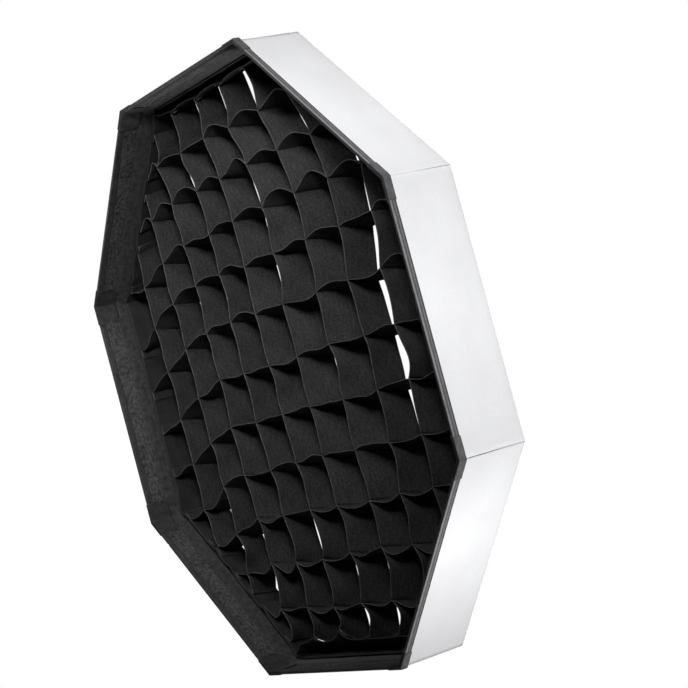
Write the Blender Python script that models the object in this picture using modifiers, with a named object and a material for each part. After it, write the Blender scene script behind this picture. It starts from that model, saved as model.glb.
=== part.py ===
"""Fabric honeycomb grid for an octagonal light modifier: a shallow cloth lip, and the egg-crate grid
that hook-and-loop tape holds inside it.

The grid faces -Y, +Z is up and +X is to the viewer's right. The origin is the centre of the lip's
back plane. All sizes are in metres.
"""

from math import cos, pi, sin, sqrt, tan

import bmesh
import bpy
from mathutils import Matrix, Vector

# ---- Driving dimensions -------------------------------------------------------------------------

FLAT_TO_FLAT = 0.650        # across two opposite sides, over the outer skin
LIP_DEPTH = 0.078           # front edge of the lip to its back edge
SKIN_THICKNESS = 0.0008
LINING_THICKNESS = 0.0008
BINDING_THICKNESS = 0.0010
BINDING_LEG = 0.006         # how far the binding reaches back from the lip's edge, on each side
POCKET_THICKNESS = 0.0010
POCKET_LEG = 0.024          # along each side, from the corner
POCKET_OUTER_DEPTH = 0.008  # back from the lip's edge, outside
POCKET_INNER_DEPTH = 0.026  # the same, inside
LOOP_TAPE_THICKNESS = 0.0020
LOOP_TAPE_WIDTH = 0.042
HOOK_TAPE_THICKNESS = 0.0010
HOOK_TAPE_WIDTH = 0.030
BAND_THICKNESS = 0.0016
BAND_OVERHANG = 0.002       # the band stands this far past the strips, in front and behind
GRID_RECESS = 0.038         # front edge of the lip to the front edge of the strips
STRIP_DEPTH = 0.034
STRIP_THICKNESS = 0.0010
TAB_LENGTH = 0.012          # the turned end by which a strip is sewn to the band
TAB_MARGIN = 0.002          # the tab is this much narrower than its strip, at each edge
COLUMNS = 11                # cells from left to right
ROWS = 12                   # cells from top to bottom

# ---- Clearances ---------------------------------------------------------------------------------

SEWN_GAP = 0.0003           # between two pieces that are sewn face to face
SLOT_CLEARANCE = 0.0004     # on each side of a strip in a slot, and below it
RELEASE_CLEARANCE = 0.0006  # between the hook tape and all that it slides past
MITRE_GAP = 0.0003          # half of the gap between two pieces that meet at a corner
OVERCUT = 0.010             # how far a cutter runs past what it cuts

# ---- Places worked out from them ----------------------------------------------------------------

SIDES = 8
HALF_CORNER = pi / SIDES    # the angle from the middle of a side to its corner, about +Y

# Apothems, from the outer skin inwards. Trim is the binding and the loop tape.
SKIN_OUTER = FLAT_TO_FLAT / 2
SKIN_INNER = SKIN_OUTER - SKIN_THICKNESS
LINING_OUTER = SKIN_INNER - SEWN_GAP
LINING_INNER = LINING_OUTER - LINING_THICKNESS
TRIM_OUTER = SKIN_OUTER + SEWN_GAP
TRIM_INNER = LINING_INNER - SEWN_GAP
BINDING_OUTER = TRIM_OUTER + BINDING_THICKNESS
BINDING_INNER = TRIM_INNER - BINDING_THICKNESS
POCKET_FOLD_OUTER = BINDING_OUTER + SEWN_GAP
POCKET_FOLD_INNER = BINDING_INNER - SEWN_GAP
POCKET_INNER = POCKET_FOLD_INNER - POCKET_THICKNESS
LOOP_INNER = TRIM_INNER - LOOP_TAPE_THICKNESS
HOOK_OUTER = min(LOOP_INNER, POCKET_INNER) - RELEASE_CLEARANCE
HOOK_INNER = HOOK_OUTER - HOOK_TAPE_THICKNESS
BAND_OUTER = HOOK_INNER - SEWN_GAP
BAND_INNER = BAND_OUTER - BAND_THICKNESS
TAB_OUTER = BAND_INNER - SEWN_GAP

# Places along Y, from the front edge of the lip to its back edge.
BACK = 0.0
FRONT = BACK - LIP_DEPTH
BINDING_FOLD = FRONT - SEWN_GAP
BINDING_FRONT = BINDING_FOLD - BINDING_THICKNESS
POCKET_FOLD = BINDING_FRONT - SEWN_GAP
LOOP_FRONT = FRONT + POCKET_INNER_DEPTH + SEWN_GAP
STRIP_FRONT = FRONT + GRID_RECESS
STRIP_BACK = STRIP_FRONT + STRIP_DEPTH
STRIP_MIDDLE = (STRIP_FRONT + STRIP_BACK) / 2
BAND_FRONT = STRIP_FRONT - BAND_OVERHANG
BAND_BACK = STRIP_BACK + BAND_OVERHANG

COLUMN_PITCH = 2 * BAND_INNER / COLUMNS
ROW_PITCH = 2 * BAND_INNER / ROWS

# Colour, roughness and metallic value of each material.
LOOKS = {
    "skin_cloth": ((0.80, 0.80, 0.81), 0.70, 0.0),
    "lining_cloth": ((0.030, 0.030, 0.032), 0.75, 0.0),
    "binding_tape": ((0.075, 0.075, 0.078), 0.60, 0.0),
    "pocket_cloth": ((0.045, 0.045, 0.047), 0.70, 0.0),
    "loop_tape": ((0.022, 0.022, 0.023), 0.95, 0.0),
    "hook_tape": ((0.028, 0.028, 0.029), 0.55, 0.0),
    "band_webbing": ((0.026, 0.026, 0.028), 0.75, 0.0),
    "strip_cloth": ((0.034, 0.034, 0.036), 0.65, 0.0),
}


# ---- Scene helpers ------------------------------------------------------------------------------

def clear_scene():
    for thing in list(bpy.data.objects):
        bpy.data.objects.remove(thing, do_unlink=True)


def new_collection(name):
    collection = bpy.data.collections.new(name)
    bpy.context.scene.collection.children.link(collection)
    return collection


def new_material(name, colour, roughness, metallic):
    material = bpy.data.materials.new(name)
    material.use_nodes = True
    shader = material.node_tree.nodes["Principled BSDF"]
    shader.inputs["Base Color"].default_value = (*colour, 1.0)
    shader.inputs["Roughness"].default_value = roughness
    shader.inputs["Metallic"].default_value = metallic
    return material


def outline_solid(name, outlines, front, back, collection):
    """Flat closed outlines of (x, z) points, filled, and drawn out along Y from front to back.

    An outline inside another is a hole in it."""
    curve = bpy.data.curves.new(name, "CURVE")
    curve.dimensions = "2D"
    curve.fill_mode = "BOTH"
    curve.extrude = (back - front) / 2
    for outline in outlines:
        spline = curve.splines.new("POLY")
        spline.points.add(len(outline) - 1)
        for point, (x, z) in zip(spline.points, outline):
            point.co = (x, z, 0, 1)
        spline.use_cyclic_u = True
    drawn = bpy.data.objects.new(name, curve)
    collection.objects.link(drawn)
    middle = Matrix.Translation((0, (front + back) / 2, 0))
    drawn.matrix_world = middle @ Matrix.Rotation(pi / 2, 4, "X")
    bpy.context.view_layer.update()
    evaluated = drawn.evaluated_get(bpy.context.evaluated_depsgraph_get())
    mesh = bpy.data.meshes.new_from_object(evaluated)
    solid = bpy.data.objects.new(name, mesh)
    collection.objects.link(solid)
    solid.matrix_world = drawn.matrix_world
    bpy.data.objects.remove(drawn, do_unlink=True)
    solid.name = name
    work = bmesh.new()
    work.from_mesh(mesh)
    bmesh.ops.remove_doubles(work, verts=work.verts, dist=0.00001)
    bmesh.ops.recalc_face_normals(work, faces=work.faces)
    work.to_mesh(mesh)
    work.free()
    return solid


def block(name, centre, size, collection, turn=None):
    """A rectangular block, turned about its own centre if turn is given."""
    bpy.ops.mesh.primitive_cube_add(size=1)
    solid = bpy.context.active_object
    solid.name = name
    solid.data.name = name
    solid.data.transform(Matrix.Diagonal((*size, 1)))
    if turn is not None:
        solid.data.transform(turn)
    solid.location = centre
    for other in list(solid.users_collection):
        other.objects.unlink(solid)
    collection.objects.link(solid)
    return solid


def add_boolean(target, tool, operation):
    cut = target.modifiers.new(operation.lower() + "_" + tool.name, "BOOLEAN")
    cut.operation = operation
    cut.solver = "EXACT"
    cut.object = tool


def as_cutter(solid):
    solid.hide_render = True
    solid.display_type = "WIRE"
    return solid


def painted(solid, material):
    solid.data.materials.clear()
    solid.data.materials.append(material)
    return solid


# ---- Octagon geometry ---------------------------------------------------------------------------

def turned(x, z, side):
    """A point drawn for the top side, turned clockwise to the side with this number."""
    angle = -2 * HALF_CORNER * side
    return (x * cos(angle) - z * sin(angle), x * sin(angle) + z * cos(angle))


def octagon(apothem):
    return [turned(apothem * tan(HALF_CORNER), apothem, side) for side in range(SIDES)]


def side_outline(outer, inner, side):
    """One straight length of wall between two apothems, mitred at its corners."""
    points = []
    for apothem, ends in ((outer, (-1, 1)), (inner, (1, -1))):
        half = apothem * tan(HALF_CORNER) - MITRE_GAP / cos(HALF_CORNER)
        points += [turned(end * half, apothem, side) for end in ends]
    return points


# ---- The lip ------------------------------------------------------------------------------------

def make_wall(prefix, outer, inner, front, back, material, collection):
    """Eight straight panels of one layer of a wall."""
    for side in range(SIDES):
        outline = side_outline(outer, inner, side)
        panel = outline_solid(f"{prefix}_{side + 1}", [outline], front, back, collection)
        painted(panel, material)


def make_ring(name, outer, inner, front, back, collection):
    """One closed loop round the octagon."""
    return outline_solid(name, [octagon(outer), octagon(inner)], front, back, collection)


def make_folded(name, bends, closed, section, thickness, collection):
    """A tape folded over the lip's front edge: an open sheet along its middle, made thick.

    Each bend is a function that gives the (x, z) point of the sheet at an apothem, and the section
    lists the (apothem, y) points of the fold."""
    work = bmesh.new()
    rows = []
    for bend in bends:
        places = [(bend(apothem), y) for apothem, y in section]
        rows.append([work.verts.new((x, y, z)) for (x, z), y in places])
    following = rows[1:] + rows[:1] if closed else rows[1:]
    for near, far in zip(rows, following):
        for i in range(len(section) - 1):
            work.faces.new((near[i], near[i + 1], far[i + 1], far[i]))
    mesh = bpy.data.meshes.new(name)
    work.to_mesh(mesh)
    work.free()
    tape = bpy.data.objects.new(name, mesh)
    collection.objects.link(tape)
    shell = tape.modifiers.new("cloth", "SOLIDIFY")
    shell.solidify_mode = "NON_MANIFOLD"
    shell.nonmanifold_thickness_mode = "CONSTRAINTS"
    shell.nonmanifold_merge_threshold = 0.0001
    shell.thickness = thickness
    shell.offset = 0
    return tape


def corner_bend(side):
    """The corner that follows this side."""
    return lambda apothem: turned(apothem * tan(HALF_CORNER), apothem, side)


def square_bend(along, side):
    """A point along this side, on a line square to it."""
    return lambda apothem: turned(along, apothem, side)


def make_binding(material, collection):
    """One tape all round, folded over the front edge of the lip."""
    outer = TRIM_OUTER + BINDING_THICKNESS / 2
    inner = TRIM_INNER - BINDING_THICKNESS / 2
    front = BINDING_FOLD - BINDING_THICKNESS / 2
    section = [(outer, FRONT + BINDING_LEG), (outer, front), (inner, front), (inner, FRONT + BINDING_LEG)]
    bends = [corner_bend(side) for side in range(SIDES)]
    binding = make_folded("front_binding", bends, True, section, BINDING_THICKNESS, collection)
    painted(binding, material)


def make_pockets(material, collection):
    """A patch at each corner, folded over the binding, longer inside the lip than outside it."""
    outer = POCKET_FOLD_OUTER + POCKET_THICKNESS / 2
    inner = POCKET_FOLD_INNER - POCKET_THICKNESS / 2
    front = POCKET_FOLD - POCKET_THICKNESS / 2
    section = [(outer, FRONT + POCKET_OUTER_DEPTH), (outer, front),
               (inner, front), (inner, FRONT + POCKET_INNER_DEPTH)]
    reach = SKIN_OUTER * tan(HALF_CORNER) - POCKET_LEG
    for side in range(SIDES):
        bends = [square_bend(reach, side), corner_bend(side), square_bend(-reach, side + 1)]
        name = f"corner_pocket_{side + 1}"
        painted(make_folded(name, bends, False, section, POCKET_THICKNESS, collection), material)


# ---- The grid -----------------------------------------------------------------------------------

def strip_places(count, pitch):
    """Where the strips of a family stand, evenly about the middle."""
    return [pitch * (i - (count - 1) / 2) for i in range(count)]


def swapped(vector):
    """A vector of the upright family, as the level family has it."""
    return Vector((vector.z, vector.y, vector.x))


def make_comb(name, places, upright, front, back, cutters):
    """The slots that one family of strips needs in the other: parallel slabs, as one cutter."""
    thick = STRIP_THICKNESS + 2 * SLOT_CLEARANCE
    work = bmesh.new()
    for place in places:
        centre = Vector((place, (front + back) / 2, 0))
        size = Vector((thick, back - front, FLAT_TO_FLAT))
        if not upright:
            centre, size = swapped(centre), swapped(size)
        slab = Matrix.Translation(centre) @ Matrix.Diagonal((*size, 1))
        bmesh.ops.create_cube(work, size=1, matrix=slab)
    mesh = bpy.data.meshes.new(name)
    work.to_mesh(mesh)
    work.free()
    comb = bpy.data.objects.new(name, mesh)
    cutters.objects.link(comb)
    return as_cutter(comb)


def make_tab(name, place, end, upright, cutters):
    """The turned end of a strip: it lies on the band and points to the middle of its side.

    It is drawn too thick towards the band, and is cut back with the strip's own end."""
    on_diagonal = TAB_OUTER * sqrt(2) - abs(place) < TAB_OUTER
    away = 1 if place > 0 else -1
    if on_diagonal:
        outward = Vector((away, 0, end)).normalized()
        along = Vector((away, 0, -end)).normalized()
        root = Vector((place, STRIP_MIDDLE, end * (TAB_OUTER * sqrt(2) - abs(place))))
        if root.dot(along) > 0:
            along = -along
    else:
        outward = Vector((0, 0, end))
        along = Vector((-away, 0, 0))
        root = Vector((place, STRIP_MIDDLE, end * TAB_OUTER))
    if not upright:
        outward, along, root = swapped(outward), swapped(along), swapped(root)
    thick = STRIP_THICKNESS + OVERCUT
    centre = root + along * (TAB_LENGTH / 2) + outward * (thick / 2 - STRIP_THICKNESS)
    turn = Matrix((along, outward.cross(along), outward)).transposed().to_4x4()
    size = (TAB_LENGTH, STRIP_DEPTH - 2 * TAB_MARGIN, thick)
    return as_cutter(block(name, centre, size, cutters, turn))


def make_strips(prefix, places, upright, comb, inside, material, collection, cutters):
    """A family of parallel strips on edge, slotted for the other family and mitred to the band."""
    for number, place in enumerate(places, 1):
        centre = Vector((place, STRIP_MIDDLE, 0))
        size = Vector((STRIP_THICKNESS, STRIP_DEPTH, FLAT_TO_FLAT))
        if not upright:
            centre, size = swapped(centre), swapped(size)
        strip = block(f"{prefix}_{number}", centre, size, collection)
        painted(strip, material)
        for end, label in ((-1, "low"), (1, "high")):
            tab = make_tab(f"{prefix}_{number}_{label}_tab", place, end, upright, cutters)
            add_boolean(strip, tab, "UNION")
        add_boolean(strip, inside, "INTERSECT")
        add_boolean(strip, comb, "DIFFERENCE")


def make_lip(material, parts):
    make_wall("rim_skin", SKIN_OUTER, SKIN_INNER, FRONT, BACK, material["skin_cloth"], parts)
    make_wall("lip_lining", LINING_OUTER, LINING_INNER, FRONT, BACK, material["lining_cloth"], parts)
    make_binding(material["binding_tape"], parts)
    make_pockets(material["pocket_cloth"], parts)
    tape = make_ring("loop_tape", TRIM_INNER, LOOP_INNER, LOOP_FRONT, LOOP_FRONT + LOOP_TAPE_WIDTH,
                     parts)
    painted(tape, material["loop_tape"])


def make_grid(material, parts, cutters):
    tape = make_ring("hook_tape", HOOK_OUTER, HOOK_INNER, STRIP_MIDDLE - HOOK_TAPE_WIDTH / 2,
                     STRIP_MIDDLE + HOOK_TAPE_WIDTH / 2, parts)
    painted(tape, material["hook_tape"])
    make_wall("border_band", BAND_OUTER, BAND_INNER, BAND_FRONT, BAND_BACK,
              material["band_webbing"], parts)

    columns = strip_places(COLUMNS - 1, COLUMN_PITCH)
    rows = strip_places(ROWS - 1, ROW_PITCH)
    inside = as_cutter(outline_solid("inside_of_band", [octagon(TAB_OUTER)],
                                     BAND_FRONT, BAND_BACK, cutters))
    row_slots = make_comb("row_slots", rows, False, STRIP_FRONT - OVERCUT,
                          STRIP_MIDDLE + SLOT_CLEARANCE / 2, cutters)
    column_slots = make_comb("column_slots", columns, True, STRIP_MIDDLE - SLOT_CLEARANCE / 2,
                             STRIP_BACK + OVERCUT, cutters)
    cloth = material["strip_cloth"]
    make_strips("vertical_strip", columns, True, row_slots, inside, cloth, parts, cutters)
    make_strips("horizontal_strip", rows, False, column_slots, inside, cloth, parts, cutters)


def main():
    clear_scene()
    parts = new_collection("honeycomb_grid")
    cutters = new_collection("cutters")
    material = {name: new_material(name, *look) for name, look in LOOKS.items()}
    make_lip(material, parts)
    make_grid(material, parts, cutters)


main()
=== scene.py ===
"""Looks of the fabric honeycomb grid: cloth strips, webbing, lining, binding and tapes, built round the
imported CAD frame. All sizes are in metres, +Z is up and the grid faces -Y.
"""

import random
from math import atan2, cos, exp, pi, radians, sin, sqrt, tan

import bpy
import numpy as np
from mathutils import Matrix, Vector


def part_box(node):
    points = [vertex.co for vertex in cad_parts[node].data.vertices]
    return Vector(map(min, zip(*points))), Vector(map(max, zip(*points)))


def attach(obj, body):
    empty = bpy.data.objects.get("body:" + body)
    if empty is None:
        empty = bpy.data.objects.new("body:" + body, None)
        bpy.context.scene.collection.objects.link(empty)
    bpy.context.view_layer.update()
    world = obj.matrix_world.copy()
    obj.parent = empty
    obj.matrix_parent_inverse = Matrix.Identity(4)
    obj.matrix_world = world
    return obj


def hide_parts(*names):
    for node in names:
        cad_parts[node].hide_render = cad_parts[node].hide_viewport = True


MM = 0.001
SIDES = 8
HALF_CORNER = pi / SIDES    # the angle from the middle of a side to its corner, about +Y

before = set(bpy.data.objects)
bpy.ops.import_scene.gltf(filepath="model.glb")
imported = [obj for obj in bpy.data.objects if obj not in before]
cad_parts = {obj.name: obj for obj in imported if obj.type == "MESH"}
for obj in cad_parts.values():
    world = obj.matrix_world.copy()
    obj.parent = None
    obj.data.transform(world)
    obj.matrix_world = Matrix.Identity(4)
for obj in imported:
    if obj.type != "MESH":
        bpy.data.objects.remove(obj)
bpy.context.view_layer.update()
rng = random.Random(12)

# ---- Sizes read from the frame ------------------------------------------------------------------

SKIN_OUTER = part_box("rim_skin_1")[1].z
SKIN_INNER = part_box("rim_skin_1")[0].z
LINING_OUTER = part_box("lip_lining_1")[1].z
LINING_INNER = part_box("lip_lining_1")[0].z
LIP_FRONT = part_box("rim_skin_1")[0].y
LIP_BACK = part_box("rim_skin_1")[1].y
BINDING_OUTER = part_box("front_binding")[1].z
BINDING_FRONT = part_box("front_binding")[0].y
BINDING_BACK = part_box("front_binding")[1].y
POCKET_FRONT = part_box("corner_pocket_1")[0].y
POCKET_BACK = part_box("corner_pocket_1")[1].y
LOOP_FRONT, LOOP_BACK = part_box("loop_tape")[0].y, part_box("loop_tape")[1].y
LOOP_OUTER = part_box("loop_tape")[1].z
HOOK_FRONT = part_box("hook_tape")[0].y
HOOK_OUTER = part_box("hook_tape")[1].z
BAND_OUTER, BAND_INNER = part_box("border_band_1")[1].z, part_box("border_band_1")[0].z
BAND_FRONT, BAND_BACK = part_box("border_band_1")[0].y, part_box("border_band_1")[1].y
STRIP_FRONT, STRIP_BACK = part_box("vertical_strip_5")[0].y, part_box("vertical_strip_5")[1].y
STRIP_DEPTH = STRIP_BACK - STRIP_FRONT
RIM_RADIUS = BINDING_OUTER / cos(HALF_CORNER)


def family(prefix, axis):
    """The strips of a family, in order: name and the middle of the strip across its length."""
    names = [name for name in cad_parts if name.startswith(prefix)]
    names.sort(key=lambda name: int(name.split("_")[-1]))
    return names, [place_of(name, axis) for name in names]


def place_of(node, axis):
    """Where a strip's flat part is: its tabs turn towards one side, so the box's middle isn't it."""
    co = np.array([v.co[axis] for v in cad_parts[node].data.vertices])
    values, counts = np.unique(np.round(co, 5), return_counts=True)
    return float(np.mean(values[np.argsort(counts)[-2:]]))


COLUMN_NAMES, COLUMNS = family("vertical_strip", 0)
ROW_NAMES, ROWS = family("horizontal_strip", 2)


# ---- Octagon ------------------------------------------------------------------------------------

def turned(along, apothem, side):
    """A point of the top side, turned clockwise to the side with this number. Gives (x, z)."""
    angle = -2 * HALF_CORNER * side
    return (along * cos(angle) - apothem * sin(angle), along * sin(angle) + apothem * cos(angle))


def side_of(x, z):
    """The side that a point is nearest to, with its place along that side and its apothem."""
    side = round(-atan2(-x, z) / (2 * HALF_CORNER)) % SIDES
    angle = 2 * HALF_CORNER * side
    return side, x * cos(angle) - z * sin(angle), x * sin(angle) + z * cos(angle)


def half_side(apothem):
    """Half the length of a side of the octagon with this apothem."""
    return apothem * tan(HALF_CORNER)


# ---- Materials ----------------------------------------------------------------------------------

EDGE_HIGHLIGHT_WIDTH = 0.6 * MM       # the painted highlight along both folded edges of a strip
HEM_SEAM = 4.6 * MM         # from the edge to the row of stitches that holds the hem
HEM_STITCH_PITCH = 3.2 * MM
RIDGE_PITCH = 3.3 * MM      # of the binding
FOLD_HIGHLIGHT_HALF = 0.7 * MM      # half the width of the painted highlight along the binding's fold


class Shader:
    """A Principled material, with short calls for the nodes that these cloths share."""

    def __init__(self, name, roughness, sheen=0.0, specular=0.35):
        self.material = bpy.data.materials.new(name)
        self.material.use_nodes = True
        self.nodes = self.material.node_tree.nodes
        self.links = self.material.node_tree.links
        self.principled = self.nodes["Principled BSDF"]
        self.principled.inputs["Roughness"].default_value = roughness
        self.principled.inputs["Sheen Weight"].default_value = sheen
        self.principled.inputs["Sheen Roughness"].default_value = 0.45
        self.principled.inputs["Specular IOR Level"].default_value = specular
        self.uv = self.nodes.new("ShaderNodeTexCoord").outputs["UV"]

    def put(self, socket, value):
        """Sets a socket to a value, or links another socket to it."""
        if isinstance(value, bpy.types.NodeSocket):
            self.links.new(value, socket)
        else:
            socket.default_value = value

    def scaled(self, across, along):
        """Texture coordinates that repeat so many times in a metre."""
        node = self.nodes.new("ShaderNodeMapping")
        node.inputs["Scale"].default_value = (along, across, 1)
        self.put(node.inputs["Vector"], self.uv)
        return node.outputs["Vector"]

    def noise(self, vector, detail=3, rough=0.55):
        node = self.nodes.new("ShaderNodeTexNoise")
        node.inputs["Scale"].default_value = 1
        node.inputs["Detail"].default_value = detail
        node.inputs["Roughness"].default_value = rough
        self.put(node.inputs["Vector"], vector)
        return node.outputs["Fac"]

    def maths(self, operation, first, second=0.5, third=0.5):
        node = self.nodes.new("ShaderNodeMath")
        node.operation = operation
        for socket, value in zip(node.inputs, (first, second, third)):
            self.put(socket, value)
        return node.outputs[0]

    def part(self, axis):
        node = self.nodes.new("ShaderNodeSeparateXYZ")
        self.put(node.inputs[0], self.uv)
        return node.outputs[axis]

    def wave(self, coordinate, pitch):
        """A ripple from 0 to 1 with this pitch in metres."""
        turn = self.maths("MULTIPLY", coordinate, 2 * pi / pitch)
        return self.maths("MULTIPLY_ADD", self.maths("SINE", turn), 0.5)

    def weave(self, pitch):
        """Warp over weft: the higher of two ripples, one each way."""
        warp, weft = self.wave(self.part(0), pitch), self.wave(self.part(1), pitch)
        return self.maths("MULTIPLY", warp, weft)

    def ramp(self, factor, stops):
        node = self.nodes.new("ShaderNodeValToRGB")
        ends = node.color_ramp.elements
        while len(ends) < len(stops):
            ends.new(0.5)
        for end, (place, grey) in zip(ends, stops):
            end.position = place
            end.color = (*tint(grey), 1)
        self.put(node.inputs[0], factor)
        return node.outputs["Color"]

    def mix(self, factor, first, second):
        node = self.nodes.new("ShaderNodeMix")
        node.data_type = "RGBA"
        self.put(node.inputs["Factor"], factor)
        self.put(node.inputs["A"], first)
        self.put(node.inputs["B"], second)
        return node.outputs["Result"]

    def colour(self, value):
        self.put(self.principled.inputs["Base Color"], value)

    def bump(self, height, distance, strength=1.0):
        node = self.nodes.new("ShaderNodeBump")
        node.inputs["Strength"].default_value = strength
        node.inputs["Distance"].default_value = distance
        self.put(node.inputs["Height"], height)
        before = self.principled.inputs["Normal"]
        if before.is_linked:
            self.put(node.inputs["Normal"], before.links[0].from_socket)
        self.put(before, node.outputs["Normal"])

    def roughness(self, factor, low, high):
        node = self.nodes.new("ShaderNodeMapRange")
        node.inputs["To Min"].default_value = low
        node.inputs["To Max"].default_value = high
        self.put(node.inputs["Value"], factor)
        self.put(self.principled.inputs["Roughness"], node.outputs["Result"])


def tint(grey):
    """Black nylon isn't quite neutral: it is a touch blue. Pale cloth is neutral."""
    cold = 1 - grey
    return (grey * (1 - 0.015 * cold), grey * (1 - 0.01 * cold), grey * (1 + 0.03 * cold))


def strip_material():
    """Black nylon: fuzzy, with threads that run along the strip, and folded edges with a painted highlight
    along them.
    """
    # edge is the grey of the painted highlight on the folded edges.
    dark, light, edge = 0.016, 0.066, 0.19
    s = Shader("strip_nylon", 0.72, 0.02, 0.16)
    threads = s.noise(s.scaled(across=520, along=90), detail=4, rough=0.7)
    fuzz = s.noise(s.scaled(across=380, along=420), detail=3, rough=0.7)
    patches = s.noise(s.scaled(across=28, along=22), detail=3)
    body = s.mix(0.4, s.ramp(threads, ((0.34, dark), (0.68, light))),
                 s.ramp(fuzz, ((0.38, dark * 0.5), (0.62, light * 1.25))))
    body = s.mix(0.25, body, s.ramp(patches, ((0.35, dark), (0.65, light))))
    across = s.part(1)
    from_edge = s.maths("MINIMUM", across, s.maths("SUBTRACT", STRIP_DEPTH, across))
    # Painted highlight: a thin band along both edges is coloured paler, in patches, for the light that the
    # folded hems catch.
    paler_mask = s.maths("LESS_THAN", from_edge, EDGE_HIGHLIGHT_WIDTH)
    highlight_breakup = s.noise(s.scaled(across=600, along=190), detail=3, rough=0.7)
    edge_highlight = s.maths("MULTIPLY", paler_mask, s.maths("MULTIPLY_ADD", highlight_breakup, 2.4, -0.7))
    body = s.mix(edge_highlight, body, (*tint(edge), 1))
    row = s.maths("COMPARE", from_edge, HEM_SEAM, 0.28 * MM)
    stitch = s.maths("MULTIPLY", row, s.maths("GREATER_THAN", s.wave(s.part(0), HEM_STITCH_PITCH), 0.35))
    s.colour(s.mix(s.maths("MULTIPLY", stitch, 0.6), body, (*tint(light), 1)))
    s.bump(s.weave(0.7 * MM), 0.10 * MM, 0.6)
    s.bump(fuzz, 0.35 * MM, 0.5)
    s.bump(stitch, -0.25 * MM, 0.8)
    s.roughness(patches, 0.62, 0.85)
    return s.material


def lining_material():
    """The lining: the same nylon, with light and dark blotches of painted shade and sheen in place of the
    shading of its creases.
    """
    s = Shader("lining_nylon", 0.75, 0.05, 0.2)
    blotches = s.noise(s.scaled(across=40, along=30), detail=5, rough=0.7)
    threads = s.noise(s.scaled(across=260, along=220), detail=4, rough=0.75)
    # Painted shade and sheen: the blotches stand in for the shading of the lining's creases.
    body = s.mix(0.6, s.ramp(blotches, ((0.36, 0.026), (0.64, 0.130))),
                 s.ramp(threads, ((0.40, 0.012), (0.60, 0.160))))
    s.colour(body)
    s.bump(s.weave(0.8 * MM), 0.12 * MM, 0.6)
    s.bump(threads, 0.6 * MM, 0.6)
    s.bump(blotches, 2.0 * MM, 0.6)
    s.roughness(blotches, 0.62, 0.85)
    return s.material


def binding_material():
    """Grosgrain tape: ribs across it, painted shade in the grooves between its ridges, and a painted
    highlight along its fold.
    """
    outer_leg = BINDING_BACK - BINDING_FRONT
    seen = outer_leg + BINDING_OUTER - LINING_INNER     # the outer leg and the front
    s = Shader("binding_grosgrain", 0.6, 0.10, 0.35)
    ribs = s.wave(s.part(0), 0.9 * MM)
    wear = s.noise(s.scaled(across=260, along=170), detail=4, rough=0.65)
    blotches = s.noise(s.scaled(across=34, along=26), detail=5, rough=0.65)
    body = s.mix(0.5, s.ramp(wear, ((0.34, 0.018), (0.66, 0.110))),
                 s.ramp(blotches, ((0.34, 0.026), (0.68, 0.100))))
    body = s.mix(0.2, body, s.ramp(ribs, ((0.2, 0.020), (0.9, 0.075))))
    outside = s.maths("LESS_THAN", s.part(1), seen)
    # Painted shade: the grooves between the ridges are coloured nearly black.
    shaded_groove = s.maths("POWER", s.wave(s.part(1), RIDGE_PITCH), 3.0)
    shaded_groove = s.maths("MULTIPLY", outside, shaded_groove)
    paler_mask = s.maths("MULTIPLY", outside, s.maths("MULTIPLY_ADD", wear, 1.8, -0.35))
    body = s.mix(s.maths("MULTIPLY", paler_mask, 0.8), body, (*tint(0.095), 1))
    body = s.mix(s.maths("MULTIPLY", shaded_groove, 0.85), body, (*tint(0.010), 1))
    # Painted highlight: a pale line along the front fold, broken up by the wear noise.
    pale_line = s.maths("COMPARE", s.part(1), outer_leg - 1.0 * MM, FOLD_HIGHLIGHT_HALF)
    pale_line = s.maths("MULTIPLY", pale_line, s.maths("MULTIPLY_ADD", wear, 1.6, -0.1))
    s.colour(s.mix(pale_line, body, (*tint(0.16), 1)))
    s.bump(shaded_groove, -0.4 * MM, 0.7)
    s.bump(ribs, 0.12 * MM, 0.6)
    s.bump(wear, 0.3 * MM, 0.5)
    s.roughness(wear, 0.5, 0.72)
    return s.material


def pocket_material():
    """The corner patches: twill, hardly lighter than the tape under it."""
    s = Shader("pocket_twill", 0.65, 0.08, 0.3)
    slant = s.maths("ADD", s.part(0), s.part(1))
    twill = s.wave(slant, 1.1 * MM)
    wear = s.noise(s.scaled(across=110, along=110), detail=5, rough=0.7)
    body = s.ramp(wear, ((0.34, 0.018), (0.70, 0.090)))
    s.colour(s.mix(0.3, body, s.ramp(twill, ((0.2, 0.016), (0.9, 0.080)))))
    s.bump(twill, 0.12 * MM, 0.6)
    s.bump(wear, 0.7 * MM, 0.6)
    s.roughness(wear, 0.52, 0.75)
    return s.material


def skin_material():
    """The pale outer cloth: a fine, even weave."""
    s = Shader("skin_pale_nylon", 0.6, 0.05, 0.3)
    threads = s.noise(s.scaled(across=500, along=500), detail=2)
    shade = s.noise(s.scaled(across=14, along=9), detail=3)
    body = s.ramp(shade, ((0.3, 0.46), (0.7, 0.52)))
    s.colour(s.mix(0.25, body, s.ramp(threads, ((0.3, 0.42), (0.7, 0.55)))))
    s.bump(s.weave(0.8 * MM), 0.10 * MM, 0.5)
    s.bump(shade, 1.0 * MM, 0.4)
    s.roughness(shade, 0.52, 0.68)
    return s.material


def loop_material():
    """The soft half of the hook-and-loop: matt pile in tufts."""
    s = Shader("loop_pile", 0.95, 0.2, 0.1)
    pile = s.noise(s.scaled(across=1400, along=1400), detail=4, rough=0.75)
    tufts = s.noise(s.scaled(across=160, along=160), detail=3)
    s.colour(s.mix(0.5, s.ramp(pile, ((0.35, 0.020), (0.68, 0.110))),
                   s.ramp(tufts, ((0.38, 0.025), (0.62, 0.095)))))
    s.bump(pile, 0.8 * MM, 0.8)
    s.roughness(tufts, 0.88, 1.0)
    return s.material


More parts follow.
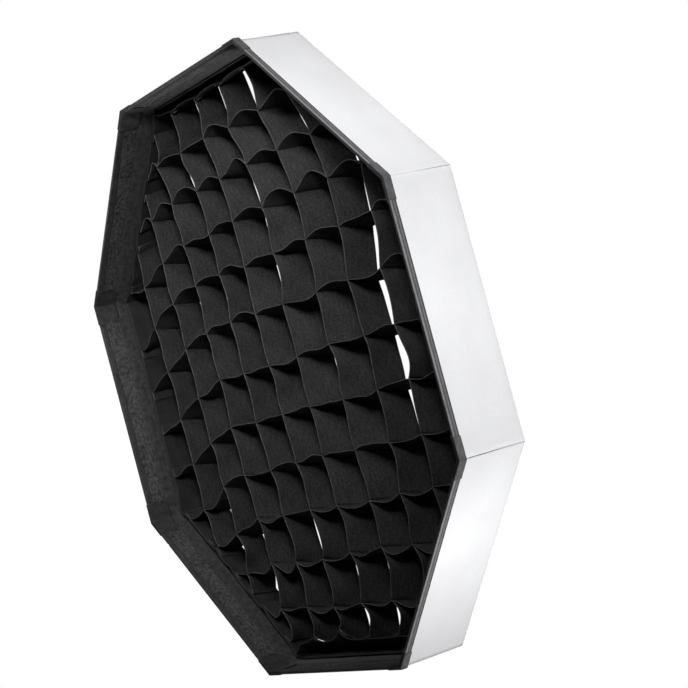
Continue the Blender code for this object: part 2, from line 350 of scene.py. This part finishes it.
def hook_material():
    """The stiff half of the hook-and-loop: rows of small hooks."""
    s = Shader("hook_nylon", 0.55, 0.05, 0.3)
    hooks = s.maths("MULTIPLY", s.wave(s.part(0), 1.4 * MM), s.wave(s.part(1), 1.4 * MM))
    wear = s.noise(s.scaled(across=120, along=60), detail=3)
    s.colour(s.mix(0.4, s.ramp(hooks, ((0.2, 0.014), (0.8, 0.055))),
                   s.ramp(wear, ((0.3, 0.018), (0.7, 0.040)))))
    s.bump(hooks, 0.5 * MM, 0.9)
    s.roughness(wear, 0.4, 0.6)
    return s.material


def webbing_material():
    """The border of the grid: webbing with ribs along it, and a rubbed front edge."""
    s = Shader("border_webbing", 0.75, 0.04, 0.2)
    ribs = s.wave(s.part(1), 1.6 * MM)
    wear = s.noise(s.scaled(across=60, along=30), detail=4, rough=0.65)
    body = s.ramp(wear, ((0.3, 0.018), (0.72, 0.046)))
    edge = s.maths("LESS_THAN", s.part(1), 1.2 * MM)
    body = s.mix(0.3, body, s.ramp(ribs, ((0.2, 0.016), (0.9, 0.05))))
    pale_line = s.maths("MULTIPLY", edge, s.maths("MULTIPLY_ADD", wear, 2.0, -0.6))
    s.colour(s.mix(pale_line, body, (*tint(0.055), 1)))
    s.bump(ribs, 0.25 * MM, 0.6)
    s.roughness(wear, 0.58, 0.8)
    return s.material


def thread_material():
    """Twisted sewing thread."""
    s = Shader("black_thread", 0.5, 0.1, 0.4)
    twist = s.wave(s.maths("ADD", s.part(0), s.part(1)), 0.5 * MM)
    s.colour(s.ramp(twist, ((0.2, 0.012), (0.9, 0.05))))
    s.bump(twist, 0.08 * MM, 0.7)
    s.roughness(twist, 0.42, 0.6)
    return s.material


# ---- Mesh helpers -------------------------------------------------------------------------------

def sheet_object(name, points, uv, material, thickness, left_out=None, weights=None):
    """A sheet from a grid of points (rows along the sheet, columns across it), made thick.

    left_out says which of its faces are missing, and weights how much of the thickness each point has.
    """
    rows, columns = points.shape[:2]
    index = np.arange(rows * columns).reshape(rows, columns)
    faces = []
    for a in range(rows - 1):
        for b in range(columns - 1):
            if left_out is None or not left_out[a, b]:
                faces.append((index[a, b], index[a + 1, b], index[a + 1, b + 1], index[a, b + 1]))
    mesh = bpy.data.meshes.new(name)
    mesh.from_pydata(points.reshape(-1, 3).tolist(), [], [tuple(int(i) for i in f) for f in faces])
    layer = mesh.uv_layers.new(name="cloth")
    corner = np.zeros(len(mesh.loops), dtype=np.int32)
    mesh.loops.foreach_get("vertex_index", corner)
    layer.data.foreach_set("uv", uv.reshape(-1, 2)[corner].astype(np.float32).ravel())
    mesh.polygons.foreach_set("use_smooth", [True] * len(mesh.polygons))
    mesh.materials.append(material)
    sheet = bpy.data.objects.new(name, mesh)
    bpy.context.scene.collection.objects.link(sheet)
    shell = sheet.modifiers.new("thickness", "SOLIDIFY")
    shell.thickness = thickness
    shell.offset = 0
    shell.use_even_offset = False
    if weights is not None:
        group = sheet.vertex_groups.new(name="thickness")
        flat = weights.reshape(-1)
        for value in np.unique(flat):
            group.add([int(i) for i in np.nonzero(flat == value)[0]], float(value), "REPLACE")
        shell.vertex_group = "thickness"
    return sheet


def lengths(points):
    """Running length down the middle of a grid of points."""
    middle = points[:, points.shape[1] // 2]
    steps = np.linalg.norm(np.diff(middle, axis=0), axis=1)
    return np.concatenate(([0.0], np.cumsum(steps)))


def run_lengths(section):
    """Running length along a section of (apothem, y) points."""
    steps = np.linalg.norm(np.diff(section, axis=0), axis=1)
    return np.concatenate(([0.0], np.cumsum(steps)))


def smooth(value):
    """From 0 to 1 as the value does, with level ends."""
    value = min(1.0, max(0.0, value))
    return value * value * (3 - 2 * value)


def rising(value, start, run):
    """0 up to start, and 1 from start + run on. The value is in metres, the others in millimetres."""
    return smooth((value - start * MM) / (run * MM))


def around(value, middle, width):
    """A bell curve: 1 at the middle, a third at a width from it. Units are as above."""
    return exp(-(((value - middle * MM) / (width * MM)) ** 2))


def ripple(seed, pitch, height):
    """A smooth random function of two lengths, as a sum of a few waves."""
    draw = random.Random(seed)
    waves = [(draw.uniform(-1, 1), draw.uniform(-1, 1), draw.uniform(0, 2 * pi)) for _ in range(6)]
    return lambda a, b: height / 3 * sum(sin(2 * pi / pitch * (p * a + q * b) + r) for p, q, r in waves)


# ---- The grid's cloth ---------------------------------------------------------------------------

END_APOTHEM = BAND_INNER - 0.3 * MM
# How far the band's front edge stands in, from the top side clockwise, and how much more where a
# strip is sewn to it, as a share of that.
BAND_PULL = [pull * MM for pull in (8, 9, 7, 9, 16, 5, 4, 6)]
STRIP_PULL = 0.5
PULL_REACH = 9 * MM         # along the band, from a strip that pulls it
CORNER_REACH = 18 * MM      # along the band, from a corner that holds it back
CORNER_HOLD = 0.65          # how much of the pull a corner takes away
CROSSING_JITTER = 2.2 * MM
CROSSING_MARGIN = 5 * MM    # from a crossing to the band
CORNER_MARGIN = 6 * MM      # strips that would cross closer to a slanting side than this don't cross
SAG_LEFT = 36 * MM          # of the level strips, close to the left wall
UPRIGHT_TOP_SHIFT = 8 * MM  # of the upper ends of the upright strips, to the left
PULL_RIGHT = 21 * MM        # of the upright strips in the right half, at their front edges
BACK_RIGHT = 6.2 * MM       # how far a crossing's back end is to the right of its front end
BACK_LOWER = 7.5 * MM       # and how far below it
NEXT_COLUMN = 58 * MM
UPPER_ROWS = 90 * MM        # above this the level strips arch up
LOWER_ROWS = -110 * MM      # and below this they sag


def strip_end(place, end):
    """Where the end of a strip at this place meets the octagon. Gives (place, how far along the strip)."""
    diagonal = END_APOTHEM * sqrt(2) - abs(place)
    return place, end * min(END_APOTHEM, diagonal)


def sewn_places():
    """For each side of the octagon, the places along it where a strip is sewn to the band."""
    places = {side: [] for side in range(SIDES)}
    for x in COLUMNS:
        for end in (-1, 1):
            side, along, _ = side_of(*strip_end(x, end))
            places[side].append(along)
    for z in ROWS:
        for end in (-1, 1):
            side, along, _ = side_of(*reversed(strip_end(z, end)))
            places[side].append(along)
    return places


SEWN = sewn_places()
PULLED = {side: [(place, rng.uniform(0.1, 1.9)) for place in places] for side, places in SEWN.items()}


def droop(x, z):
    """How far the level strips hang down towards the left wall."""
    return SAG_LEFT * rising(-x, 140, 170) * (1 - 0.6 * rising(abs(z), 130, 130))


def band_inset(side, along, t):
    """How far the band leans in from its flat place, from its front edge (t = 0) to its back."""
    pull = max(exp(-abs(along - place) / PULL_REACH) * share for place, share in PULLED[side])
    free = smooth((half_side(END_APOTHEM) - abs(along)) / CORNER_REACH)
    lean = (1 - t) ** 1.25
    return lean * BAND_PULL[side] * (1 + STRIP_PULL * pull) * (1 - CORNER_HOLD + CORNER_HOLD * free)


def band_point(side, along, t, lift=0.0):
    """A point (x, z) on the inner face of the leaning band."""
    apothem = END_APOTHEM - band_inset(side, along, t) - lift
    reach = half_side(apothem)
    return np.array(turned(min(reach, max(-reach, along)), apothem, side))


def taut_rows(z):
    """The share of the pull to the right: full in the upper rows, less in the lower ones."""
    return 1 - 0.75 * rising(-z, 30, 190)


def spread(x, z):
    """How the slack moves the crossings of the front edges, as (dx, dz).

    The upper rows spread to the right and the top row to the left, and the right half is pulled right.
    """
    upper, top = around(z, 140, 55), around(z, 290, 42)
    lower, middle = around(z, -200, 60), around(z, 85, 85)
    taut = rising(x, -10, 175) * (1 - 0.4 * rising(x, 215, 45)) * taut_rows(z)
    dx = (8 * MM + 0.045 * x) * upper - 17 * MM * top + 6 * MM * lower
    dx += PULL_RIGHT * taut * (1 - 0.5 * top)
    dz = 9 * MM * middle + 1.5 * MM - 6 * MM * top - droop(x, z)
    return np.array((dx, dz))


def opened(x, z):
    """How much the cells stand open, so that light shows between an upright strip and the next."""
    return around(x, 145, 36) * around(z, -5, 125)


def back_shift(x, z):
    """Where the back end of a crossing is, from its front end: lower, and to the right.

    It is least where the cells stand open, and most in the columns right of the middle.
    """
    right = BACK_RIGHT + 0.022 * x - 7.0 * MM * opened(x, z) + 9 * MM * rising(x, 215, 30)
    right += 12.5 * MM * around(x, 50, 65) * taut_rows(z)
    right += 3.5 * MM * rising(z, 90, 90)
    right += 5.0 * MM * rising(-z, 50, 70) * rising(x, -50, 70)
    return np.array((right, -(BACK_LOWER - 0.011 * z)))


def kept_inside(point, t):
    """A crossing, moved in from the band if it is too close to it at its front (t = 0) or back edge."""
    side, along, apothem = side_of(*point)
    limit = END_APOTHEM - band_inset(side, along, t) - CROSSING_MARGIN
    return np.array(turned(along, min(apothem, limit), side))


def shaken():
    """A small random shift."""
    return np.array([rng.uniform(-1, 1) for _ in range(2)]) * CROSSING_JITTER


def make_crossings():
    """Front and back point of every crossing, by column and row."""
    crossings = {}
    for i, x in enumerate(COLUMNS):
        for j, z in enumerate(ROWS):
            front_shake, back_shake = shaken(), shaken()
            if abs(x) + abs(z) > END_APOTHEM * sqrt(2) - CORNER_MARGIN:
                continue
            front = kept_inside(np.array((x, z)) + spread(x, z) + front_shake, 0)
            back = kept_inside(front + back_shift(x, z) + back_shake, 1)
            crossings[i, j] = (front, back)
    return crossings


CROSSINGS = make_crossings()


def hump(x, z, upright):
    """How far the front edge of a cell's length of strip bows, and how fast that fades backwards."""
    if upright:
        size = 2.0 + 4.5 * rising(-z, 90, 120) + rng.gauss(0, 1.9)
        size += 6.0 * rng.random() * opened(x - NEXT_COLUMN, z)
        return size * MM, 1.2
    if z > UPPER_ROWS:
        return (2.5 + 4.5 * rising(z, 90, 130) + rng.gauss(0, 3.4)) * MM, 1.1
    if z > LOWER_ROWS:
        return rng.gauss(0.8, 2.4) * MM, 1.3
    return (-4.5 - rng.gauss(2.0, 3.0)) * MM, 2.2


CELL_STEPS = 16             # points along a strip in each cell
HEM_STEPS = 3               # and across it, in each hem
PLAIN_STEPS = 7             # and between the hems
TAB_STEPS = 4
TAB_LENGTH = 11 * MM        # of the turned end by which a strip is sewn to the band
TAB_LIFT = 0.5 * MM         # its middle, off the band
SLOT_HALF = 0.16 * MM
HEM = 5.0 * MM
CLOTH_THICKNESS = 0.8 * MM  # of the folded edges
PLAIN_SHARE = 0.55          # of that, between them
FLUTTER_PITCH = 46 * MM
FLUTTER_HEIGHT = 1.3 * MM
FLUTTER_STEP = 70 * MM      # the ripple starts this much further on in each cell


def strip_knots(index, upright):
    """A strip's two ends, as (side, along), and the crossings between them, as (front, back) points."""
    own, others = (COLUMNS, ROWS) if upright else (ROWS, COLUMNS)
    place = own[index]
    middle = []
    for k in range(len(others)):
        key = (index, k) if upright else (k, index)
        if key in CROSSINGS:
            middle.append(CROSSINGS[key])
    ends = []
    for end in (-1, 1):
        point = strip_end(place, end)
        x, z = point if upright else point[::-1]
        if not upright and x < 0:
            z -= droop(x, z)
        elif upright and z > 0:
            x -= UPRIGHT_TOP_SHIFT
        side, along, _ = side_of(x, z)
        ends.append((side, along))
    return ends, middle


def depth_stations():
    """Shares of the strip's depth, from its front edge to its back, closer together in the hems."""
    hem = HEM / STRIP_DEPTH
    return np.concatenate((np.linspace(0, hem, HEM_STEPS + 1)[:-1],
                           np.linspace(hem, 1 - hem, PLAIN_STEPS + 1),
                           np.linspace(1 - hem, 1, HEM_STEPS + 1)[1:]))


def tab(side, along, ts):
    """The turned end, as further columns that lie on the band, towards the middle of its side."""
    away = -1 if along > 0 else 1
    columns = []
    for step in range(1, TAB_STEPS + 1):
        here = along + away * TAB_LENGTH * step / TAB_STEPS
        columns.append(np.array([band_point(side, here, t, TAB_LIFT) for t in ts]))
    return columns


def cell_columns(near, far, cell, last_cell, upright, flutter, ts):
    """The columns of points between two crossings: bowed at the front, less so at the back, and rippled."""
    run = far - near
    size, fade = hump(*((near[0] + far[0]) / 2), upright)
    back_size = size * rng.uniform(0.05, 0.35) + rng.gauss(0, 0.9) * MM
    lean = rng.uniform(0.6, 1.6)
    wave = rng.gauss(0, 0.9) * MM
    across = np.array((1.0, 0.0)) if upright else np.array((0.0, 1.0))
    length = float(np.linalg.norm(run[0]))
    gap = SLOT_HALF / max(length, 10 * MM)
    first = 0.0 if cell == 0 else gap
    last = 1.0 if cell == last_cell else 1 - gap
    columns = []
    for step in range(CELL_STEPS + 1):
        share = step / CELL_STEPS
        u = first + (last - first) * share
        bow = sin(pi * share)
        loose = np.array([flutter(u * length + cell * FLUTTER_STEP, t * STRIP_DEPTH) for t in ts])
        offset = size * sin(pi * share ** lean) * (1 - ts) ** fade + back_size * bow * ts ** 1.5
        offset += wave * sin(2 * pi * share) * (1 - ts) + loose * bow
        columns.append(near + run * u + offset[:, None] * across)
    return columns


def make_strip(name, index, upright, material):
    """One strip of the lattice, slotted half its depth at every crossing, its ends turned on the band."""
    ends, middle = strip_knots(index, upright)
    ts = depth_stations()
    edges = [np.array([band_point(side, along, t, TAB_LIFT) for t in ts]) for side, along in ends]
    knots = [edges[0]]
    for front, back in middle:
        knots.append(np.array([front + (back - front) * t for t in ts]))
    knots.append(edges[1])

    columns = tab(*ends[0], ts)[::-1]
    slots = []
    flutter = ripple(rng.random(), FLUTTER_PITCH, FLUTTER_HEIGHT)
    last_cell = len(knots) - 2
    for cell, (near, far) in enumerate(zip(knots, knots[1:])):
        columns += cell_columns(near, far, cell, last_cell, upright, flutter, ts)
        if cell < last_cell:
            slots.append(len(columns) - 1)
    columns += tab(*ends[1], ts)
    flat = np.array(columns)
    ys = STRIP_FRONT + ts * STRIP_DEPTH
    points = np.stack((flat[..., 0], np.broadcast_to(ys, flat.shape[:2]), flat[..., 1]), axis=-1)

    along = lengths(points)
    uv = np.stack(np.broadcast_arrays(along[:, None], (ts * STRIP_DEPTH)[None, :]), axis=-1)
    front_half = ts[:-1] < 0.5
    left_out = np.zeros((len(points) - 1, len(ts) - 1), bool)
    left_out[slots] = front_half if upright else ~front_half
    hem = np.minimum(ts, 1 - ts) * STRIP_DEPTH <= HEM + 0.001 * MM
    weights = np.broadcast_to(np.where(hem, 1.0, PLAIN_SHARE), points.shape[:2])
    strip = sheet_object(name + "_cloth", points, uv, material, CLOTH_THICKNESS, left_out, weights)
    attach(strip, "grid")
    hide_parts(name)


# ---- Panels round the octagon -------------------------------------------------------------------

MITRE = 0.3 * MM            # between a panel's end and the corner
UV_START = 0.2              # keeps a panel's texture coordinates above zero
FACE_THICKNESS = 0.7 * MM   # of the skin and the lining
BAND_THICKNESS = 1.2 * MM
SKIN_HEM = 6 * MM           # folded over the lining's back edge
SKIN_FOLD = 0.4 * MM        # radius

def side_panel(name, side, section, material, thickness, steps=60, lift=None):
    """A sheet along one side that follows a section of (apothem, y) points, mitred at the corners.

    lift moves a point inwards: it is given the place along the side and along the section.
    """
    section = np.array(section)
    run = run_lengths(section)
    points, uv = [], []
    for a in np.linspace(-1, 1, steps + 1):
        row, flat = [], []
        for (apothem, y), length in zip(section, run):
            along = a * (half_side(apothem) - MITRE)
            inward = lift(along, length) if lift else 0.0
            x, z = turned(along, apothem - inward, side)
            row.append((x, y, z))
            flat.append((along + UV_START, length))
        points.append(row)
        uv.append(flat)
    return sheet_object(name, np.array(points), np.array(uv), material, thickness)


def straight(apothem, front, back, steps):
    """A flat section, from front to back."""
    return [(apothem, front + (back - front) * i / steps) for i in range(steps + 1)]


def make_skin(side, material):
    """The pale outer cloth, slightly puckered, with its hem folded over the lining's back edge."""
    middle = (SKIN_OUTER + SKIN_INNER) / 2
    pucker = ripple(100 + side, 70 * MM, 0.5 * MM)
    hem = LIP_BACK - 0.5 * MM
    inside = LINING_INNER - 0.5 * MM
    section = straight(middle, LIP_FRONT, hem - SKIN_FOLD, 16)
    section += [(middle - 0.1 * MM, hem - 0.1 * MM), (middle - SKIN_FOLD, hem),
                (inside + SKIN_FOLD, hem), (inside + 0.1 * MM, hem - 0.1 * MM),
                (inside, hem - SKIN_FOLD), (inside, hem - SKIN_HEM)]
    total = LIP_BACK - LIP_FRONT

    def lift(along, length):
        held = sin(pi * length / total) ** 0.5 if 0 < length < total else 0
        return max(-0.5 * MM, pucker(along, length)) * held

    name = f"rim_skin_{side + 1}"
    return side_panel(name + "_cloth", side, section, material, FACE_THICKNESS, lift=lift), name


def make_lining(side, material):
    """The lining, creased between the binding and the loop tape."""
    middle = (LINING_OUTER + LINING_INNER) / 2
    section = straight(middle, LIP_FRONT, LIP_BACK - 1.0 * MM, 26)
    creases = ripple(200 + side, 34 * MM, 0.9 * MM)
    folds = ripple(300 + side, 110 * MM, 0.8 * MM)
    free = LOOP_FRONT - LIP_FRONT

    def lift(along, length):
        held = smooth(length / (9 * MM)) * smooth((free - length) / (6 * MM))
        edge = smooth((half_side(middle) - abs(along)) / (12 * MM))
        return max(0.0, 0.9 * MM + creases(along, length * 1.6) + folds(along, length)) * held * edge

    name = f"lip_lining_{side + 1}"
    return side_panel(name + "_cloth", side, section, material, FACE_THICKNESS, steps=90, lift=lift), name


def make_band(side, material):
    """The webbing border of the grid: its front edge leans in, pulled by the strips."""
    apothem = (BAND_OUTER + BAND_INNER) / 2
    section = straight(apothem, BAND_FRONT, BAND_BACK, 14)
    total = BAND_BACK - BAND_FRONT

    def lift(along, length):
        return band_inset(side, along, length / total)

    name = f"border_band_{side + 1}"
    return side_panel(name + "_webbing", side, section, material, BAND_THICKNESS, steps=120, lift=lift), name


def make_sides(materials):
    """The pieces that there are eight of, one on each side."""
    makers = ((make_skin, materials["skin"], "skin_cloth", "rim"),
              (make_lining, materials["lining"], "lining_cloth", "rim"),
              (make_band, materials["webbing"], "band_webbing", "grid"))
    for maker, material, slot, body in makers:
        for side in range(SIDES):
            panel, node = maker(side, material)
            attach(panel, body)
            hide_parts(node)


RING_STEPS = 40             # on each side
CORNER_SHARE = 0.02         # of half a side, left to the rounded corner


def ring(name, section, material, thickness, node, body):
    """A tape that runs all round the octagon, closed on itself, with its corners rounded a little."""
    points, uv = [], []
    section = np.array(section)
    run = run_lengths(section)
    reach = 1 - CORNER_SHARE
    stations = [(side, a) for side in range(SIDES) for a in np.linspace(-reach, reach, RING_STEPS)]
    travelled = 0.0
    for side, a in stations + stations[:1]:
        row, flat = [], []
        for (apothem, y), length in zip(section, run):
            x, z = turned(a * half_side(apothem), apothem, side)
            row.append((x, y, z))
            flat.append((travelled, length))
        points.append(row)
        uv.append(flat)
        travelled += 2 * half_side(section[0][0]) / RING_STEPS
    tape = sheet_object(name, np.array(points), np.array(uv), material, thickness)
    weld = tape.modifiers.new("join", "WELD")
    weld.merge_threshold = 0.02 * MM
    tape.modifiers.move(1, 0)
    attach(tape, body)
    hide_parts(node)


FOLD_RADIUS = 1.3 * MM
BINDING_THICKNESS = 0.9 * MM
LOOP_THICKNESS = 1.0 * MM
HOOK_THICKNESS = 0.9 * MM
BINDING_MIDDLE = 0.5 * MM   # from the binding's face to the middle of the tape
LINING_CLEARANCE = 0.3 * MM


def fold_section(outer, inner, front, back_outer, back_inner, ridges):
    """The section of a tape folded over the lip's edge, with soft ridges on its front."""
    points = []
    radius = FOLD_RADIUS
    outer_length = back_outer - front
    for i in range(8):
        points.append((outer, back_outer - (outer_length - radius) * i / 8))
    for i in range(4):
        angle = pi / 2 * i / 4
        points.append((outer - radius + radius * cos(angle), front + radius - radius * sin(angle)))
    width = outer - inner - 2 * radius
    for i in range(10):
        share = i / 10
        lift = ridges * (0.5 - 0.5 * cos(2 * pi * 2 * share))
        points.append((outer - radius - width * share, front + lift))
    for i in range(4):
        angle = pi / 2 * i / 4
        points.append((inner + radius - radius * sin(angle), front + radius - radius * cos(angle)))
    inner_length = back_inner - front
    for i in range(9):
        points.append((inner, front + radius + (inner_length - radius) * i / 8))
    return points


def make_rings(materials):
    """The binding, and both halves of the hook-and-loop."""
    section = fold_section(BINDING_OUTER - BINDING_MIDDLE, LINING_INNER - LINING_CLEARANCE - BINDING_MIDDLE,
                           BINDING_FRONT + BINDING_MIDDLE, BINDING_BACK, BINDING_BACK, 0.7 * MM)
    ring("front_binding_tape", section, materials["binding"], BINDING_THICKNESS,
         "front_binding", "rim")
    middle = LOOP_OUTER - 0.9 * MM
    sewn = [(LOOP_OUTER - 0.2 * MM, LOOP_FRONT - 2 * MM)]
    sewn += straight(middle, LOOP_FRONT + 2 * MM, LOOP_BACK, 12)
    ring("loop_tape_pile", sewn, materials["loop"], LOOP_THICKNESS, "loop_tape", "rim")
    middle = HOOK_OUTER - 0.7 * MM
    hooked = straight(middle, HOOK_FRONT, BAND_BACK, 10) + [(BAND_INNER, BAND_BACK)]
    ring("hook_tape_strip", hooked, materials["hook"], HOOK_THICKNESS, "hook_tape", "grid")


POCKET_REACH = 23 * MM      # along each side, from the corner
POCKET_THICKNESS = 0.5 * MM
POCKET_TAPER = 0.28         # how much narrower the patch is at its rounded end, inside the lip


def make_pocket(corner, material):
    """A patch folded over the binding at a corner, with a rounded end inside the lip."""
    outer, inner = BINDING_OUTER + 0.3 * MM, LINING_INNER - 1.65 * MM
    front, outer_back = BINDING_FRONT - 0.2 * MM, BINDING_BACK + 0.6 * MM
    section = np.array(fold_section(outer, inner, front, outer_back, POCKET_BACK, 0.6 * MM))
    run = run_lengths(section)
    points, uv = [], []
    for a in np.linspace(-1, 1, 41):
        row, flat = [], []
        for (apothem, y), length in zip(section, run):
            from_end = abs(y - section[-1][1]) / (POCKET_BACK - POCKET_FRONT)
            inside = apothem < (outer + inner) / 2
            shrink = 1 - POCKET_TAPER * (1 - smooth(from_end * 2.2)) ** 2 if inside else 1.0
            side = corner if a < 0 else corner + 1
            reach = half_side(apothem) - abs(a) * POCKET_REACH * shrink
            x, z = turned(reach if a < 0 else -reach, apothem, side)
            row.append((x, y, z))
            flat.append((a * POCKET_REACH, length))
        points.append(row)
        uv.append(flat)
    node = f"corner_pocket_{corner + 1}"
    patch = sheet_object(node + "_patch", np.array(points), np.array(uv), material, POCKET_THICKNESS)
    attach(patch, "rim")
    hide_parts(node)


# ---- Stitches -----------------------------------------------------------------------------------

THREAD = 0.22 * MM          # radius
THREAD_SIDES = 5
STITCH = 3.0 * MM
STITCH_PITCH = 4.2 * MM
SEAM_MARGIN = 1.5 * MM      # from the binding's back edges
TACK_LIFT = 1.05 * MM       # off the band, on the strip's turned end


def spindle(start, end, radius):
    """A short thread between two points: its tips go down into the cloth."""
    along = (end - start) / np.linalg.norm(end - start)
    aside = np.cross(along, (0.31, 0.52, 0.79))
    aside = aside / np.linalg.norm(aside)
    other = np.cross(along, aside)
    points = [start]
    for share in (0.22, 0.5, 0.78):
        middle = start + (end - start) * share
        for k in range(THREAD_SIDES):
            angle = 2 * pi * k / THREAD_SIDES
            points.append(middle + radius * (aside * cos(angle) + other * sin(angle)))
    points.append(end)
    last = len(points) - 1
    faces = []
    for k in range(THREAD_SIDES):
        after = (k + 1) % THREAD_SIDES
        faces.append((0, 1 + after, 1 + k))
        for first in (1, 1 + THREAD_SIDES):
            second = first + THREAD_SIDES
            faces.append((first + k, first + after, second + after, second + k))
        faces.append((last, last - THREAD_SIDES + k, last - THREAD_SIDES + after))
    return points, faces


def thread_object(name, runs, body, material):
    """All the stitches of a seam as one piece: runs is a list of (start, end)."""
    points, faces = [], []
    for start, end in runs:
        new_points, new_faces = spindle(np.array(start), np.array(end), THREAD)
        faces += [tuple(i + len(points) for i in face) for face in new_faces]
        points += [tuple(float(v) for v in p) for p in new_points]
    mesh = bpy.data.meshes.new(name)
    mesh.from_pydata(points, [], faces)
    layer = mesh.uv_layers.new(name="cloth")
    for loop in mesh.loops:
        x, y, z = mesh.vertices[loop.vertex_index].co
        layer.data[loop.index].uv = (x + z, y)
    mesh.polygons.foreach_set("use_smooth", [True] * len(mesh.polygons))
    mesh.materials.append(material)
    thread = bpy.data.objects.new(name, mesh)
    bpy.context.scene.collection.objects.link(thread)
    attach(thread, body)


def seam(apothem, y):
    """Stitches in a row all round the octagon."""
    runs = []
    for side in range(SIDES):
        reach = half_side(apothem) - 3 * MM
        count = int(2 * reach / STITCH_PITCH)
        for k in range(count):
            along = -reach + STITCH_PITCH * (k + 0.5)
            ends = [turned(along + step, apothem, side) for step in (-STITCH / 2, STITCH / 2)]
            runs.append([(x, y, z) for x, z in ends])
    return runs


def tacks():
    """Where each strip's turned end is sewn to the band: a few stitches, one above another."""
    runs = []
    for side, places in SEWN.items():
        for along in places:
            away = -1 if along > 0 else 1
            for share in (0.12, 0.34, 0.56, 0.78):
                y = BAND_FRONT + (BAND_BACK - BAND_FRONT) * share
                pair = [band_point(side, along + away * step, share, TACK_LIFT) for step in (3 * MM, 8 * MM)]
                runs.append([(x, y, z) for x, z in pair])
    return runs


def make_stitches(material):
    """A row on each face of the binding, and the tacks on the band."""
    binding_inner = LINING_INNER - LINING_CLEARANCE - 1.0 * MM
    y = BINDING_BACK - SEAM_MARGIN
    thread_object("binding_stitches", seam(BINDING_OUTER, y) + seam(binding_inner, y), "rim", material)
    thread_object("band_tack_stitches", tacks(), "grid", material)


# ---- Stage, lights and camera -------------------------------------------------------------------

def make_floor():
    """A plain, pale floor, below the picture."""
    bpy.ops.mesh.primitive_circle_add(vertices=96, radius=1.9, fill_type="NGON", location=(0, 0.1, -1.0))
    floor = bpy.context.active_object
    floor.name = "floor"
    s = Shader("pale_floor", 0.8)
    s.principled.inputs["Base Color"].default_value = (0.8, 0.8, 0.8, 1)
    floor.data.materials.append(s.material)


WORLD_LIGHT = 0.013


def make_world():
    """White behind the object, and a dim, even light all round it."""
    world = bpy.data.worlds.new("studio")
    world.use_nodes = True
    nodes, links = world.node_tree.nodes, world.node_tree.links
    background = nodes["Background"]
    background.inputs["Color"].default_value = (1, 1, 1, 1)
    rays = nodes.new("ShaderNodeLightPath")
    strength = nodes.new("ShaderNodeMapRange")
    strength.inputs["To Min"].default_value = WORLD_LIGHT
    strength.inputs["To Max"].default_value = 1.0
    links.new(rays.outputs["Is Camera Ray"], strength.inputs["Value"])
    links.new(strength.outputs["Result"], background.inputs["Strength"])
    bpy.context.scene.world = world


def area_light(name, place, aim, size, power, spread, height=None):
    """A round light, or a long one if height is given. spread is in degrees."""
    data = bpy.data.lights.new(name, "AREA")
    data.shape = "RECTANGLE" if height else "DISK"
    data.size = size
    if height:
        data.size_y = height
    data.energy = power
    data.spread = radians(spread)
    light = bpy.data.objects.new(name, data)
    light.location = place
    light.rotation_euler = (Vector(aim) - Vector(place)).to_track_quat("-Z", "Y").to_euler()
    light.visible_camera = False
    bpy.context.scene.collection.objects.link(light)


LIP_MIDDLE = (LIP_FRONT + LIP_BACK) / 2
# The small lights round the lip: name, x, z and power. They graze only its outside.
RIM_LIGHTS = (("rim_high", 0.75, 1.20, 0.86), ("rim_low", 0.62, -0.88, 0.66),
              ("rim_right", 1.5, 0, 1.1), ("rim_left", -1.5, 0.5, 1.3))


def make_lights():
    """A key in front, a fill from the right, and weak lights on the top lining and the lip's outside."""
    area_light("key", (0.38, -0.84, 0.95), (-0.10, 0, 0.03), 0.30, 0.48, 48)
    area_light("fill", (1.55, -0.92, 0.60), (-0.42, -0.02, 0.07), 0.3, 0.80, 35)
    lip_top = (-0.01, -0.064, SKIN_INNER - 3 * MM)
    area_light("top_lining", (0.06, -0.75, -0.55), lip_top, 0.24, 0.026, 4, height=0.03)
    for name, x, z, power in RIM_LIGHTS:
        area_light(name, (x, LIP_MIDDLE, z), (x * 0.3, LIP_MIDDLE, z * 0.1), 0.06, power, 50)


CAMERA_PLACE = Vector((4.976, -2.864, -0.172))      # in rim radii, from the centre of the rim's front
CAMERA_AZIMUTH, CAMERA_ELEVATION, CAMERA_ROLL = radians(57.2), radians(-1.85), radians(15.0)
CAMERA_LENS = 100.2


def make_camera():
    """The camera, at the photograph's angle."""
    a, e = CAMERA_AZIMUTH, CAMERA_ELEVATION
    back = Vector((sin(a) * cos(e), -cos(a) * cos(e), sin(e)))
    level = Vector((cos(a), sin(a), 0))
    upright = back.cross(level)
    right = level * cos(CAMERA_ROLL) - upright * sin(CAMERA_ROLL)
    up = back.cross(right)
    data = bpy.data.cameras.new("camera")
    data.lens = CAMERA_LENS
    data.sensor_width = 36
    camera = bpy.data.objects.new("camera", data)
    place = Vector((0, (BINDING_FRONT + LIP_FRONT) / 2, 0)) + CAMERA_PLACE * RIM_RADIUS
    camera.matrix_world = Matrix.Translation(place) @ Matrix((right, up, back)).transposed().to_4x4()
    bpy.context.scene.collection.objects.link(camera)
    bpy.context.scene.camera = camera


# ---- Build --------------------------------------------------------------------------------------

def main():
    """Builds every piece, then the stage, the lights and the camera."""
    materials = {
        "skin": skin_material(),
        "lining": lining_material(),
        "binding": binding_material(),
        "pocket": pocket_material(),
        "loop": loop_material(),
        "hook": hook_material(),
        "webbing": webbing_material(),
        "thread": thread_material(),
        "strip": strip_material(),
    }
    make_rings(materials)
    make_sides(materials)
    for corner in range(SIDES):
        make_pocket(corner, materials["pocket"])
    for index, name in enumerate(COLUMN_NAMES):
        make_strip(name, index, True, materials["strip"])
    for index, name in enumerate(ROW_NAMES):
        make_strip(name, index, False, materials["strip"])
    make_stitches(materials["thread"])
    make_floor()
    make_world()
    make_lights()
    make_camera()
    bpy.context.scene.view_settings.view_transform = "Standard"


main()
